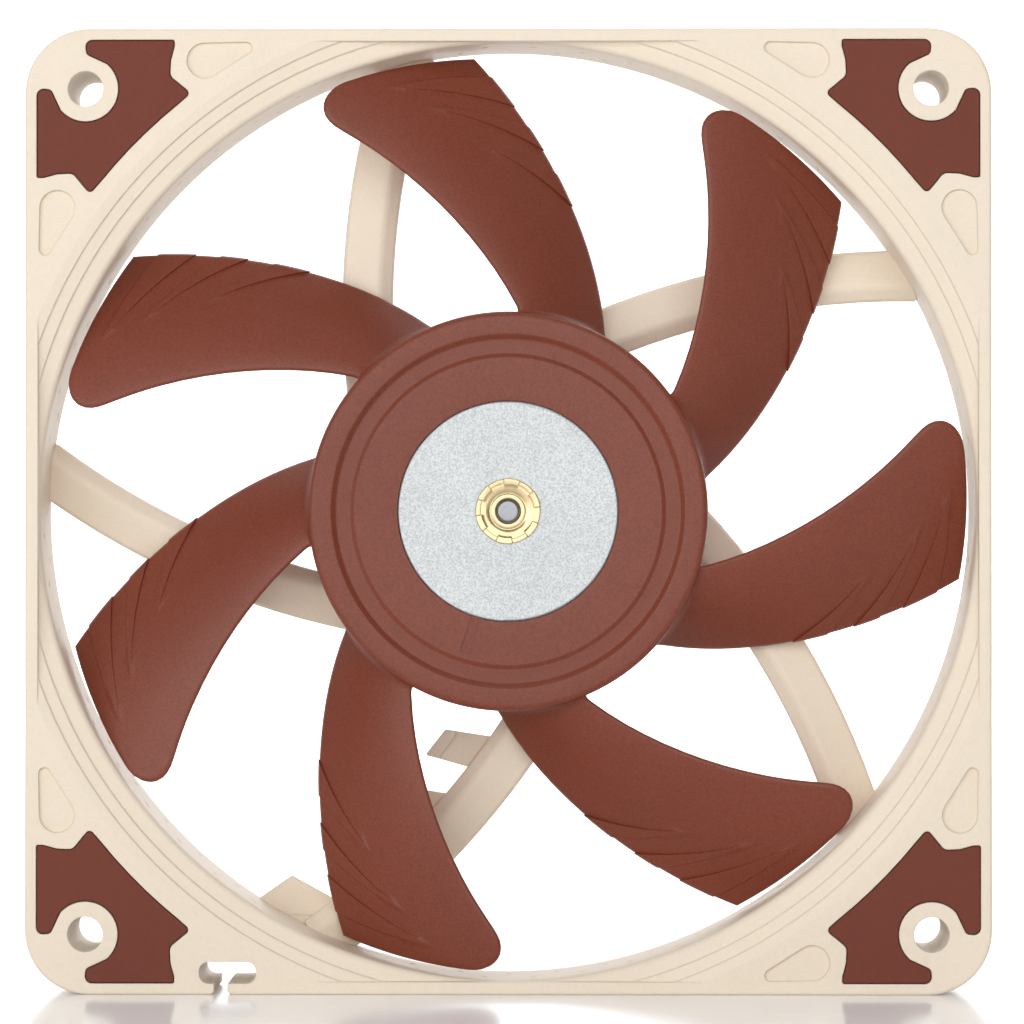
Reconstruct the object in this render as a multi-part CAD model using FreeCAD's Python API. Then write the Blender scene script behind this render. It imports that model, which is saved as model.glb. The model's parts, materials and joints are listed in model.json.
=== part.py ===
import FreeCAD, Part
import os
from math import sin, cos, tan, atan2, acos, radians, degrees, sqrt, hypot, pi

# Slim 120 mm case fan with a five-strut frame, seven-blade impeller, motor and
# four leads.  The rotor axis is the Y axis, the origin is the centre of the
# frame, the intake (front) faces -Y and +Z is up.  Sizes are in millimetres.
# Angles run counter-clockwise from +X as seen from the intake side, so a point
# at (radius, angle) has X = radius cos(angle), Z = radius sin(angle).

Vector = FreeCAD.Vector
ORIGIN = Vector(0, 0, 0)
Y_AXIS = Vector(0, 1, 0)
PAST = 9.0                 # cutting tools reach from -PAST to PAST along Y

os.makedirs("parts", exist_ok=True)


# ================================================================ helpers
def polar(radius, angle):
    """(x, z) of a point; the angle is in degrees."""
    return radius * cos(radians(angle)), radius * sin(radians(angle))


def polar_point(radius, angle, y):
    x, z = polar(radius, angle)
    return Vector(x, y, z)


def cylinder(radius, y0, y1, x=0.0, z=0.0):
    return Part.makeCylinder(radius, y1 - y0, Vector(x, y0, z), Y_AXIS)


def through(radius, x=0.0, z=0.0):
    """Cylinder along Y that reaches past both faces of the fan."""
    return cylinder(radius, -PAST, PAST, x, z)


def block(x0, x1, y0, y1, z0, z1):
    return Part.makeBox(x1 - x0, y1 - y0, z1 - z0, Vector(x0, y0, z0))


def round_corner(before, at, after):
    """Start, middle and end of the arc of radius at[2] in the corner `at`."""
    corner = Vector(*at[:2], 0)
    to_before = (Vector(*before[:2], 0) - corner).normalize()
    to_after = (Vector(*after[:2], 0) - corner).normalize()
    bisector = (to_before + to_after).normalize()
    half_angle = to_before.getAngle(to_after) / 2
    radius = at[2]
    tangent = radius / tan(half_angle)
    arc = (corner + to_before * tangent,
           corner + bisector * (radius / sin(half_angle) - radius),
           corner + to_after * tangent)
    return [(p.x, p.y) for p in arc]


def rounded(points):
    """Closed outline through (a, b[, corner radius]).

    An outline is a list of pieces: two points for a line, three for an arc.
    """
    count = len(points)
    corners = []
    for i, point in enumerate(points):
        if len(point) > 2 and point[2] > 0:
            corners.append(round_corner(points[i - 1], point, points[(i + 1) % count]))
        else:
            corners.append([point[:2]])
    outline = []
    for i, corner in enumerate(corners):
        if len(corner) == 3:
            outline.append(corner)
        end, start = corner[-1], corners[(i + 1) % count][0]
        if hypot(start[0] - end[0], start[1] - end[1]) > 1e-6:
            outline.append((end, start))
    return outline


def face(outline, place):
    """Face inside an outline; place maps each (a, b) to a 3-D point."""
    edges = []
    for piece in outline:
        points = [place(*point) for point in piece]
        curve = Part.LineSegment if len(points) == 2 else Part.Arc
        edges.append(curve(*points).toShape())
    return Part.Face(Part.Wire(edges))


def flat_face(outline, y):
    """Face square to the axis of an (x, z) outline."""
    return face(outline, lambda x, z: Vector(x, y, z))


def extrude(outline, y0, y1):
    return flat_face(outline, y0).extrude(Vector(0, y1 - y0, 0))


def prism(points, y0, y1):
    """Prism along Y on (x, z[, corner radius]) points."""
    return extrude(rounded(points), y0, y1)


def spin(points):
    """Solid of revolution about the fan axis of (radius, y[, corner radius]) points."""
    profile = face(rounded(points), lambda radius, y: Vector(radius, y, 0))
    return profile.revolve(ORIGIN, Y_AXIS, 360)


def turn(shape, angle):
    """Copy turned counter-clockwise as seen from the intake side."""
    turned = shape.copy()
    turned.rotate(ORIGIN, Vector(0, -1, 0), angle)
    return turned


def flip(shape, side_x, side_z):
    """Copy of a +X +Z shape mirrored into the corner with the given signs."""
    flipped = shape.copy()
    if side_x < 0:
        flipped = flipped.mirror(ORIGIN, Vector(1, 0, 0))
    if side_z < 0:
        flipped = flipped.mirror(ORIGIN, Vector(0, 0, 1))
    return flipped


def to_rear(shape):
    """Mirror a front feature to the exhaust side."""
    return shape.mirror(ORIGIN, Y_AXIS)


def sector(r0, r1, a0, a1, y0, y1):
    """Part of a ring between two radii and two angles."""
    middle = (a0 + a1) / 2
    return extrude([(polar(r0, a0), polar(r0, middle), polar(r0, a1)),
                    (polar(r0, a1), polar(r1, a1)),
                    (polar(r1, a1), polar(r1, middle), polar(r1, a0)),
                    (polar(r1, a0), polar(r0, a0))], y0, y1)


def one(shape):
    """The largest solid of a boolean result, with split faces merged."""
    return max(shape.removeSplitter().Solids, key=lambda solid: solid.Volume)


def save(name, shape):
    shape.exportStep("parts/" + name + ".step")


# ================================================================ frame sizes
FRAME_W = 120.0            # outside width and height
FRAME_D = 15.0             # depth along the axis
HALF_W = FRAME_W / 2
FRONT = -FRAME_D / 2       # intake plane
REAR = FRAME_D / 2         # exhaust plane
CORNER_R = 8.0             # outside corner radius
EDGE_R = 0.45              # rounding of the outside edges, front and rear
FLANGE_T = 4.0             # thickness of the front and rear flanges
HOLE_PITCH = 105.0         # mounting hole spacing, both ways
HOLE_OFFSET = HOLE_PITCH / 2
HOLE_R = 2.2
POST_R = 4.3               # wall round each mounting hole between the flanges
DUCT_R = 58.3
DUCT_OUT_R = 60.9          # outside of the duct wall between the flanges
DUCT_REAR_CHAMFER = 0.5
RIM_HALF = 58.4            # inside of the flat square rim at the intake
WEB_R0, WEB_R1, WEB_T = 59.0, 71.0, 1.6        # webs from duct wall to corner posts

# corner name, sign of X, sign of Z
CORNERS = [("top_right", 1, 1), ("top_left", -1, 1),
           ("bottom_left", -1, -1), ("bottom_right", 1, -1)]
PLUG_CORNER = "bottom_left"
PLUG_ANGLE = 225.0         # direction of that corner

# stepped intake lip: (radius, depth below the intake plane)
LIP = [(63.2, 0.0), (62.0, 0.26), (61.9, 0.56), (60.5, 0.84), (60.4, 1.16),
       (58.9, 1.44), (58.62, 1.60), (58.42, 1.84), (DUCT_R, 2.25)]
LIP_CORE_R = 50.0          # inner radius of the lip cutter, in the open duct

# two staggered rows of shallow dents round the duct wall
DENT_COUNT = 60
DENT_ROWS = [(6.0, 3.0), (10.7, 0.0)]     # (depth below the intake plane, first angle)
DENT_R = 0.46              # opening of each dent, with 45 degree sides
DENT_DEEP = 0.25
DENT_START = 0.35          # how far inside the duct wall the cutting cone starts

# tear-drop recesses beside the pads: (x, z, radius) of the two ends
DROP_BIG = (37.7, 56.0, 2.2)
DROP_SMALL = (32.55, 57.55, 0.75)
DROP_DEEP = 0.45

# cable slot through both flanges, at the bottom left: a wide head and a narrow
# stem that flares at the outside edge
SLOT_X0, SLOT_X1 = -38.35, -31.25
SLOT_Z0, SLOT_Z1 = -58.6, -55.9
SLOT_END_R = 1.2
STEM_X0, STEM_X1 = -36.5, -34.75
STEM_TOP_Z = -57.5
STEM_FLARE = 0.4
SLOT_COLLAR = 1.1          # wall of the collar round the slot
SLOT_COLLAR_R = 1.8

# ================================================================ corner pads
PAD_T = 1.25
POCKET_T = 1.30
PAD_GAP = 0.10             # play between pad and pocket wall
PAD_RING_R = 4.05          # plastic left round each mounting hole
PAD_RING_ANGLE = 131.3     # where the outline meets that ring, about the hole
PAD_INNER_R = 65.05        # inner edge of each pad, about the fan axis
PAD_INNER_X = 40.9         # x at which that inner edge ends
PAD_SOFT_R = 0.15          # rounding of the visible edge

# half outline of the +X +Z pad, from inner edge to hole ring: (x, z, corner radius)
PAD_HALF = [(39.35, 51.95, 0.60), (41.95, 54.08, 1.00), (41.86, 56.0, 1.5),
            (41.40, 57.7, 0.6), (41.40, 58.6, 0.30), (52.62, 58.6, 0.90),
            (52.42, 56.75, 0.70)]


def pad_outline():
    """Outline of the +X +Z pocket, symmetric about the diagonal."""
    ring_x, ring_z = polar(PAD_RING_R, PAD_RING_ANGLE)
    ring_end = (HOLE_OFFSET + ring_x, HOLE_OFFSET + ring_z)
    inner_end = (PAD_INNER_X, sqrt(PAD_INNER_R ** 2 - PAD_INNER_X ** 2))
    chain = [inner_end] + PAD_HALF + [ring_end]
    path = []
    last = inner_end
    for before, at, after in zip(chain, chain[1:], chain[2:]):
        arc = round_corner(before, at, after)
        path += [(last, arc[0]), arc]
        last = arc[-1]
    path.append((last, ring_end))
    mirrored = [[(z, x) for x, z in reversed(piece)] for piece in reversed(path)]
    ring_middle = HOLE_OFFSET - PAD_RING_R / sqrt(2.0)
    inner_middle = PAD_INNER_R / sqrt(2.0)
    ring_arc = (ring_end, (ring_middle, ring_middle), ring_end[::-1])
    inner_arc = (inner_end[::-1], (inner_middle, inner_middle), inner_end)
    return path + [ring_arc] + mirrored + [inner_arc]


def make_pad():
    """Front pad of the +X +Z corner."""
    shrunk = flat_face(pad_outline(), FRONT + POCKET_T - PAD_T).makeOffset2D(-PAD_GAP)
    # the offset may come back as a bare wire
    if not shrunk.Faces:
        shrunk = Part.Face(shrunk)
    pad = shrunk.extrude(Vector(0, PAD_T, 0)).Solids[0]
    front = pad.BoundBox.YMin
    visible_edges = [e for e in pad.Edges
                     if abs(e.BoundBox.YMin - front) < 1e-6
                     and abs(e.BoundBox.YMax - front) < 1e-6]
    # guards the rounding: a pad whose fillet fails keeps its sharp edge
    try:
        soft = pad.makeFillet(PAD_SOFT_R, visible_edges)
        if soft.isValid() and len(soft.Solids) == 1:
            pad = soft.Solids[0]
    except Exception:
        pass
    return pad


# ================================================================ struts
STRUT_COUNT = 5
STRUT_PITCH = 360.0 / STRUT_COUNT
STRUT_CX, STRUT_CZ = 49.734, -69.165     # centre of the first strut's arc
STRUT_R = 99.11                          # centre-line radius of that arc
STRUT_W = 6.4
STRUT_RIDGE = 0.28                       # ridge position as a fraction of the width
STRUT_Y_RIDGE = 3.95
STRUT_Y_INNER = 5.05                     # front of the side nearer the arc centre
STRUT_Y_OUTER = 5.30                     # front of the side away from it
STRUT_Y_REAR = 7.30
STRUT_END_R = 59.6                       # outer end, inside the duct wall
STRUT_START_R = 23.4                     # inner end, inside the seat rim
CABLE_ANGLE = 3 * STRUT_PITCH            # turn from the first strut to the cable strut


def strut_xz(offset, psi):
    """Point of the first strut at an offset from its centre line and an arc angle."""
    x, z = polar(STRUT_R + offset, psi)
    return STRUT_CX + x, STRUT_CZ + z


def psi_at(radius, offset=0.0):
    """Arc angle where the line at this offset is at a radius from the fan axis."""
    low, high = 70.0, 130.0
    for _ in range(60):
        middle = (low + high) / 2
        if hypot(*strut_xz(offset, middle)) > radius:
            low = middle
        else:
            high = middle
    return (low + high) / 2


def strut_bar(section, r_out, r_in):
    """Bar along the strut arc with an (offset, y[, corner radius]) section."""
    psi_out, psi_in = psi_at(r_out), psi_at(r_in)

    def place(offset, y):
        x, z = strut_xz(offset, psi_out)
        return Vector(x, y, z)

    profile = face(rounded(section), place)
    centre = Vector(STRUT_CX, 0, STRUT_CZ)
    return profile.revolve(centre, Vector(0, -1, 0), psi_in - psi_out)


def make_struts():
    half = STRUT_W / 2
    ridge = -half + STRUT_RIDGE * STRUT_W
    section = [(-half, STRUT_Y_REAR, 0.35), (-half, STRUT_Y_INNER, 0.55),
               (ridge, STRUT_Y_RIDGE, 1.3), (half, STRUT_Y_OUTER, 0.55),
               (half, STRUT_Y_REAR, 0.35)]
    strut = strut_bar(section, STRUT_END_R, 22.0)
    strut = strut.common(through(STRUT_END_R).cut(through(STRUT_START_R)))
    return [turn(strut, STRUT_PITCH * k) for k in range(STRUT_COUNT)]


# two hooks on the clockwise side of the cable strut, as (x, z) corners
HOOK_LIP = [(-8.11, -27.57), (-6.59, -28.01), (-8.90, -31.18), (-10.65, -30.80)]
HOOK_ARM = [(-8.11, -27.57), (-0.33, -28.78), (-3.14, -32.92), (-10.65, -30.80)]
HOOK_STEPS = [(0.0, 0.0), (-6.41, -7.11)]     # (x, z) shift of each hook
HOOK_LIP_Y0, HOOK_ARM_Y0 = 4.90, 6.10
# flat ledge between duct and cable strut
LEDGE = [(-27.59, -46.14), (-18.05, -51.42), (-34.34, -50.83)]
LEDGE_Y0 = 6.0
LEDGE_CLIP_R = 59.4
HOOK_Y1 = 7.20             # rear of hooks and ledge


def make_hooks():
    hooks = []
    for step_x, step_z in HOOK_STEPS:
        lip = prism([(x + step_x, z + step_z, 0.25) for x, z in HOOK_LIP],
                    HOOK_LIP_Y0, HOOK_Y1)
        arm = prism([(x + step_x, z + step_z, 0.2) for x, z in HOOK_ARM],
                    HOOK_ARM_Y0, HOOK_Y1)
        hooks.append(lip.fuse(arm))
    return hooks


def make_ledge():
    corners = [(x, z, 0.3) for x, z in LEDGE]
    return prism(corners, LEDGE_Y0, HOOK_Y1).common(through(LEDGE_CLIP_R))


# ================================================================ motor seat
SEAT_R = 24.6
SEAT_Y0 = 5.60
SEAT_RIM_Y0 = 4.90
SEAT_RIM_R = 23.2
SEAT_BOSS_R = 6.4
LABEL_R = 20.8
LABEL_Y0, LABEL_Y1 = 7.10, 7.26
LABEL_GAP = 0.2            # recess wall outside the label

TUBE_IN_R, TUBE_OUT_R = 3.60, 4.60
TUBE_Y0, TUBE_Y1 = -3.90, 6.60


def make_seat():
    """Motor seat joined to its struts, hooks and ledge."""
    seat = spin([(0, STRUT_Y_REAR), (0, SEAT_Y0), (SEAT_BOSS_R, SEAT_Y0),
                 (SEAT_RIM_R, SEAT_Y0, 0.3), (SEAT_RIM_R, SEAT_RIM_Y0),
                 (SEAT_R, SEAT_RIM_Y0, 0.3), (SEAT_R, STRUT_Y_REAR, 0.3)])
    boss = cylinder(SEAT_BOSS_R, SEAT_RIM_Y0, SEAT_Y0 + 0.1)
    return seat.multiFuse([boss] + make_struts() + make_hooks() + [make_ledge()])


# lead channel in the rear of the cable strut
CHANNEL_W = 4.3
CHANNEL_FLOOR_Y = 6.30
CHANNEL_OUT_R = 62.6
WINDOW_FLOOR_Y = 4.0       # window through the seat
WINDOW_OUT_R, WINDOW_IN_R = 22.9, 17.8
EXIT_FLOOR_Y = -2.5        # notch outside the duct wall where the leads come out
EXIT_SIDE = 0.2            # extra width of the notch on each side
EXIT_OUT_R = 63.2


def strut_slot(half_width, floor_y, top_y, r_out, r_in, floor_corner=0.0):
    """Cutter along the first strut, open at the rear."""
    return strut_bar([(-half_width, top_y), (-half_width, floor_y, floor_corner),
                      (half_width, floor_y, floor_corner), (half_width, top_y)],
                     r_out, r_in)


def lead_cutters():
    """Channel, window and exit notch for the leads, turned to the cable strut."""
    half = CHANNEL_W / 2
    channel = strut_slot(half, CHANNEL_FLOOR_Y, 8.5, 63.0, 20.0, 0.4)
    channel = channel.common(through(CHANNEL_OUT_R))
    window = strut_slot(half, WINDOW_FLOOR_Y, PAST, WINDOW_OUT_R, WINDOW_IN_R)
    window = window.common(through(WINDOW_OUT_R))
    notch = strut_slot(half + EXIT_SIDE, EXIT_FLOOR_Y, PAST, 65.0, 59.0)
    notch = notch.common(through(EXIT_OUT_R)).cut(through(DUCT_OUT_R + 0.01))
    return [turn(tool, CABLE_ANGLE) for tool in (channel, window, notch)]


# ================================================================ frame housing
PLUG_D0, PLUG_D1 = 59.70, 69.75    # plug extent along the corner diagonal
FLAT_OUT_D, FLAT_HALF = 64.0, 14.0  # flat cut in the duct wall for the plug


def make_block():
    """Square block with rounded corners and outside edges."""
    body = block(-HALF_W, HALF_W, FRONT, REAR, -HALF_W, HALF_W)
    upright = [e for e in body.Edges if e.BoundBox.YLength > FRAME_D - 0.1]
    body = body.makeFillet(CORNER_R, upright)
    rim_edges = [e for e in body.Edges if e.BoundBox.YLength < 0.01]
    return body.makeFillet(EDGE_R, rim_edges)


def flange_gap():
    """Open space between the flanges, less the walls that cross it."""
    keep = [through(DUCT_OUT_R)]
    for name, side_x, side_z in CORNERS:
        keep.append(through(POST_R, side_x * HOLE_OFFSET, side_z * HOLE_OFFSET))
        if name != PLUG_CORNER:
            web = block(WEB_R0, WEB_R1, -PAST, PAST, -WEB_T / 2, WEB_T / 2)
            keep.append(turn(web, degrees(atan2(side_z, side_x))))
    x0, x1 = SLOT_X0 - SLOT_COLLAR, SLOT_X1 + SLOT_COLLAR
    collar_z = SLOT_Z1 + SLOT_COLLAR
    keep.append(prism([(x0, collar_z, SLOT_COLLAR_R), (x1, collar_z, SLOT_COLLAR_R),
                       (x1, -HALF_W), (x0, -HALF_W)], FRONT, REAR))
    reach = HALF_W + 1
    gap = block(-reach, reach, FRONT + FLANGE_T, REAR - FLANGE_T, -reach, reach)
    for wall in keep:
        gap = gap.cut(wall)
    return gap


def cut_duct(body):
    """Air duct, stepped intake lip and rear chamfer."""
    # turned a little so that the seam of the bore lies clear of the dents
    body = body.cut(turn(through(DUCT_R), 1.5))
    lip_top = [(LIP_CORE_R, FRONT - 1.0), (LIP[0][0], FRONT - 1.0)]
    lip_steps = [(radius, FRONT + depth) for radius, depth in LIP]
    lip = spin(lip_top + lip_steps + [(LIP_CORE_R, FRONT + LIP[-1][1])])
    body = body.cut(lip.common(block(-RIM_HALF, RIM_HALF, -PAST, 0, -RIM_HALF, RIM_HALF)))
    chamfer_r = DUCT_R + DUCT_REAR_CHAMFER
    chamfer_y = REAR - DUCT_REAR_CHAMFER
    return body.cut(spin([(57.0, REAR + 1), (57.0, chamfer_y), (DUCT_R, chamfer_y),
                          (chamfer_r, REAR), (chamfer_r, REAR + 1)]))


def teardrop(swap):
    """Front tear-drop of the +X +Z corner; swap mirrors it about the diagonal."""
    (x1, z1, r1), (x2, z2, r2) = DROP_BIG, DROP_SMALL
    base = atan2(z2 - z1, x2 - x1)
    spread = acos((r1 - r2) / hypot(x2 - x1, z2 - z1))
    left, right = base + spread, base - spread

    def at(end, angle):
        x, z, radius = end
        x, z = x + radius * cos(angle), z + radius * sin(angle)
        return (z, x) if swap else (x, z)

    big, small = DROP_BIG, DROP_SMALL
    return extrude([(at(big, left), at(small, left)),
                    (at(small, left), at(small, base), at(small, right)),
                    (at(small, right), at(big, right)),
                    (at(big, right), at(big, base + pi), at(big, left))],
                   FRONT - 1, FRONT + DROP_DEEP)


def corner_cutters():
    """Mounting holes, pad pockets and tear-drops."""
    pocket = extrude(pad_outline(), FRONT - 0.5, FRONT + POCKET_T)
    pocket_rear = to_rear(pocket)
    tools = []
    for _, side_x, side_z in CORNERS:
        tools += [through(HOLE_R, side_x * HOLE_OFFSET, side_z * HOLE_OFFSET),
                  flip(pocket, side_x, side_z), flip(pocket_rear, side_x, side_z)]
    for name, side_x, side_z in CORNERS:
        for swap in (False, True):
            # the cable slot takes the place of this one
            if name == PLUG_CORNER and not swap:
                continue
            drop = flip(teardrop(swap), side_x, side_z)
            tools += [drop, to_rear(drop)]
    return tools


def cable_slot_cutters():
    head = prism([(SLOT_X0, SLOT_Z0, SLOT_END_R), (SLOT_X1, SLOT_Z0, SLOT_END_R),
                  (SLOT_X1, SLOT_Z1, SLOT_END_R), (SLOT_X0, SLOT_Z1, SLOT_END_R)],
                 -PAST, PAST)
    edge, past_edge = -HALF_W, -HALF_W - 1
    wide0, wide1 = STEM_X0 - STEM_FLARE, STEM_X1 + STEM_FLARE
    flare_z = edge + STEM_FLARE
    stem = prism([(wide0, past_edge), (wide0, edge), (STEM_X0, flare_z),
                  (STEM_X0, STEM_TOP_Z), (STEM_X1, STEM_TOP_Z), (STEM_X1, flare_z),
                  (wide1, edge), (wide1, past_edge)], -PAST, PAST)
    return [head, stem]


def dent_cutters():
    dents = []
    for depth, first_angle in DENT_ROWS:
        for i in range(DENT_COUNT):
            cone = Part.makeCone(DENT_R + DENT_START, DENT_R - DENT_DEEP,
                                 DENT_DEEP + DENT_START,
                                 Vector(DUCT_R - DENT_START, FRONT + depth, 0),
                                 Vector(1, 0, 0))
            dents.append(turn(cone, first_angle + i * 360.0 / DENT_COUNT))
    return Part.makeCompound(dents)


def make_frame_housing():
    body = make_block().cut(flange_gap())
    flat = block(PLUG_D0 - 0.1, FLAT_OUT_D, FRONT + FLANGE_T, REAR - FLANGE_T,
                 -FLAT_HALF, FLAT_HALF)
    body = body.cut(turn(flat, PLUG_ANGLE))
    body = cut_duct(body)
    for tool in corner_cutters() + cable_slot_cutters():
        body = body.cut(tool)
    body = body.cut(dent_cutters())
    body = body.fuse(make_seat())
    body = body.cut(cylinder(TUBE_OUT_R + 0.01, 4.0, TUBE_Y1))
    body = body.cut(cylinder(LABEL_R + LABEL_GAP, LABEL_Y0, PAST))
    for tool in lead_cutters():
        body = body.cut(tool)
    return one(body)


# ================================================================ bearing
SLEEVE_BORE_R, SLEEVE_OUT_R = 1.53, 3.58
SLEEVE_Y0, SLEEVE_Y1 = -3.25, 4.40
SEAL_IN_R, SEAL_Y0, SEAL_Y1 = 1.75, -3.85, SLEEVE_Y0 - 0.02
THRUST_R, THRUST_Y0, THRUST_Y1 = 3.5, 5.50, 6.00
BEARING_MAGNET_R = 3.45


def save_bearing():
    save("bearing_tube", spin([
        (TUBE_IN_R, TUBE_Y0, 0.15), (TUBE_OUT_R, TUBE_Y0, 0.2),
        (TUBE_OUT_R, TUBE_Y1), (TUBE_IN_R, TUBE_Y1)]))
    save("bearing_sleeve", spin([
        (SLEEVE_BORE_R, SLEEVE_Y0), (SLEEVE_OUT_R, SLEEVE_Y0, 0.25),
        (SLEEVE_OUT_R, SLEEVE_Y1, 0.25), (SLEEVE_BORE_R, SLEEVE_Y1)]))
    save("oil_seal", spin([
        (SEAL_IN_R, SEAL_Y0), (SLEEVE_OUT_R, SEAL_Y0, 0.1),
        (SLEEVE_OUT_R, SEAL_Y1), (SEAL_IN_R, SEAL_Y1)]))
    save("thrust_pad", spin([
        (0, THRUST_Y0), (THRUST_R, THRUST_Y0, 0.15), (THRUST_R, THRUST_Y1), (0, THRUST_Y1)]))
    save("bearing_magnet", spin([
        (0, THRUST_Y1), (BEARING_MAGNET_R, THRUST_Y1),
        (BEARING_MAGNET_R, TUBE_Y1), (0, TUBE_Y1)]))


# ================================================================ stator
TOOTH_COUNT = 4
TOOTH_PITCH = 360.0 / TOOTH_COUNT
CORE_Y0, CORE_Y1 = -2.90, 0.50
CORE_R = 20.40
CORE_HEAD_R = 17.20        # inside of the tooth heads
CORE_HEAD_ANGLE = 39.0     # half angle of each head
CORE_HUB_R = 7.40
CORE_ARM_W = 6.0
INSULATOR_T = 0.80
INSULATOR_INSET = 0.3      # how far the insulators stay inside the core
COIL_R0, COIL_R1 = 8.40, 16.70
COIL_HALF = 6.0
COIL_Y0, COIL_Y1 = -4.70, 2.35
COIL_CORNER_R = 1.4
BOARD_Y0, BOARD_Y1 = 3.20, 4.20
BOARD_IN_R, BOARD_OUT_R = 5.6, 21.3
PIN_CIRCLE_R, PIN_ANGLE = 18.8, 34.0
PIN_R, PIN_HOLE_R, PIN_POST_R = 0.32, 0.34, 1.1
PIN_Y0 = CORE_Y1 + 0.3
CHIP_R0, CHIP_R1, CHIP_T = 13.6, 17.0, 0.8
CHIP_ANGLE = 45.0

# (radius, angle, radial size, tangential size, thickness)
COMPONENTS = [(12.0, 20.0, 1.6, 0.8, 0.6), (12.0, 60.0, 2.0, 1.25, 0.7),
              (15.5, 100.0, 1.6, 0.8, 0.6), (10.5, 140.0, 3.2, 1.6, 0.9),
              (14.5, 165.0, 1.6, 0.8, 0.6), (13.0, 205.0, 2.0, 1.25, 0.7),
              (10.0, 330.0, 1.6, 0.8, 0.6)]

PIN_XZ = [polar(PIN_CIRCLE_R, PIN_ANGLE + TOOTH_PITCH * k) for k in range(TOOTH_COUNT)]


def core_shape(y0, y1, inset=0.0):
    """Four T-shaped teeth on a round hub."""
    shape = cylinder(CORE_HUB_R, y0, y1)
    for k in range(TOOTH_COUNT):
        arm = block(5.0, CORE_HEAD_R + 0.6, y0, y1, -CORE_ARM_W / 2, CORE_ARM_W / 2)
        head = sector(CORE_HEAD_R, CORE_R - inset, -CORE_HEAD_ANGLE, CORE_HEAD_ANGLE, y0, y1)
        shape = shape.fuse(turn(arm, TOOTH_PITCH * k)).fuse(turn(head, TOOTH_PITCH * k))
    return shape


def make_front_insulator():
    plate = core_shape(CORE_Y0 - INSULATOR_T, CORE_Y0, INSULATOR_INSET)
    return one(plate.cut(through(TUBE_OUT_R + 0.05)))


def cut_pin_holes(shape):
    for x, z in PIN_XZ:
        shape = shape.cut(cylinder(PIN_HOLE_R, PIN_Y0, BOARD_Y1 + 1, x, z))
    return shape


def make_rear_insulator():
    """Rear insulator with a post under the board at each pin."""
    rear = CORE_Y1 + INSULATOR_T
    plate = core_shape(CORE_Y1, rear, INSULATOR_INSET)
    for x, z in PIN_XZ:
        plate = plate.fuse(cylinder(PIN_POST_R, rear - 0.1, BOARD_Y0, x, z))
    return one(cut_pin_holes(plate.cut(through(TUBE_OUT_R + 0.05))))


def make_coil():
    """Winding round the tooth on +X, with play of its own round the arm."""
    coil = block(COIL_R0, COIL_R1, COIL_Y0, COIL_Y1, -COIL_HALF, COIL_HALF)
    length = COIL_R1 - COIL_R0
    coil = coil.makeFillet(COIL_CORNER_R,
                           [e for e in coil.Edges if e.BoundBox.XLength > length - 0.1])
    play_y = INSULATOR_T + 0.03
    half_arm = CORE_ARM_W / 2 + 0.05
    coil = coil.cut(block(0, 20, CORE_Y0 - play_y, CORE_Y1 + play_y, -half_arm, half_arm))
    return coil.common(through(CORE_HEAD_R - 0.12))


def make_components():
    parts = []
    for radius, angle, radial, tangential, thick in COMPONENTS:
        part = block(radius - radial / 2, radius + radial / 2, BOARD_Y1, BOARD_Y1 + thick,
                     -tangential / 2, tangential / 2)
        parts.append(turn(part, angle))
    return Part.makeCompound(parts)


def save_stator():
    save("stator_core", one(core_shape(CORE_Y0, CORE_Y1).cut(through(TUBE_OUT_R + 0.02))))
    save("insulator_front", make_front_insulator())
    save("insulator_rear", make_rear_insulator())
    save("winding_pins", Part.makeCompound(
        [cylinder(PIN_R, PIN_Y0, BOARD_Y1, x, z) for x, z in PIN_XZ]))
    coil = make_coil()
    for k in range(TOOTH_COUNT):
        save("coil_%d" % (k + 1), one(turn(coil, TOOTH_PITCH * k)))
    board = cylinder(BOARD_OUT_R, BOARD_Y0, BOARD_Y1).cut(through(BOARD_IN_R))
    save("circuit_board", one(cut_pin_holes(board)))
    half_chip = (CHIP_R1 - CHIP_R0) / 2
    chip = block(CHIP_R0, CHIP_R1, BOARD_Y0 - CHIP_T, BOARD_Y0, -half_chip, half_chip)
    save("driver_chip", turn(chip, CHIP_ANGLE))
    save("board_components", make_components())


# ================================================================ leads and plug
WIRE_NAMES = ["wire_black", "wire_yellow", "wire_green", "wire_blue"]
WIRE_R = 0.40
WIRE_KNUCKLE_R = WIRE_R + 0.03
WIRE_STEP = 1.00           # spacing side by side in the channel
WIRE_STACK_Y = [1.90, 0.90, -0.10, -1.10]     # y of each lead outside the duct wall
WIRE_RUN_R = 61.75         # radius of the run outside the duct wall
WIRE_RUN_ANGLES = (241.5, 238.5, 236.2)
# along the channel: (radius, y)
WIRE_CHANNEL = [(17.9, 4.63), (18.8, 4.66), (20.45, 6.50), (21.2, 6.73), (24.0, 6.76),
                (30.0, 6.76), (38.0, 6.76), (46.0, 6.76), (54.0, 6.76), (59.0, 6.76),
                (61.0, 6.76)]
PLUG_HALF_L = 6.1
PLUG_Y0, PLUG_Y1 = -3.50, 2.30
PLUG_MID_Y = (PLUG_Y0 + PLUG_Y1) / 2
PLUG_PITCH = 2.54
PLUG_EDGE_R = 0.4
# distance of each lead's way along the corner diagonal
WAY_D = [PLUG_D0 + 1.22 + PLUG_PITCH * (3 - i) for i in range(4)]
TERMINAL_X0, TERMINAL_X1 = -5.9, 3.5
TERMINAL_HALF = 0.8
CAVITY_HALF = 0.9          # half width of the plug cavity round a terminal
SOCKET_HALF = 0.5          # half width of the contact opening


def cable_angle(radius, offset):
    """Angle of the cable strut's line at an offset, where it is at a radius."""
    x, z = strut_xz(offset, psi_at(radius, offset))
    return degrees(atan2(z, x)) + CABLE_ANGLE


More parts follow.
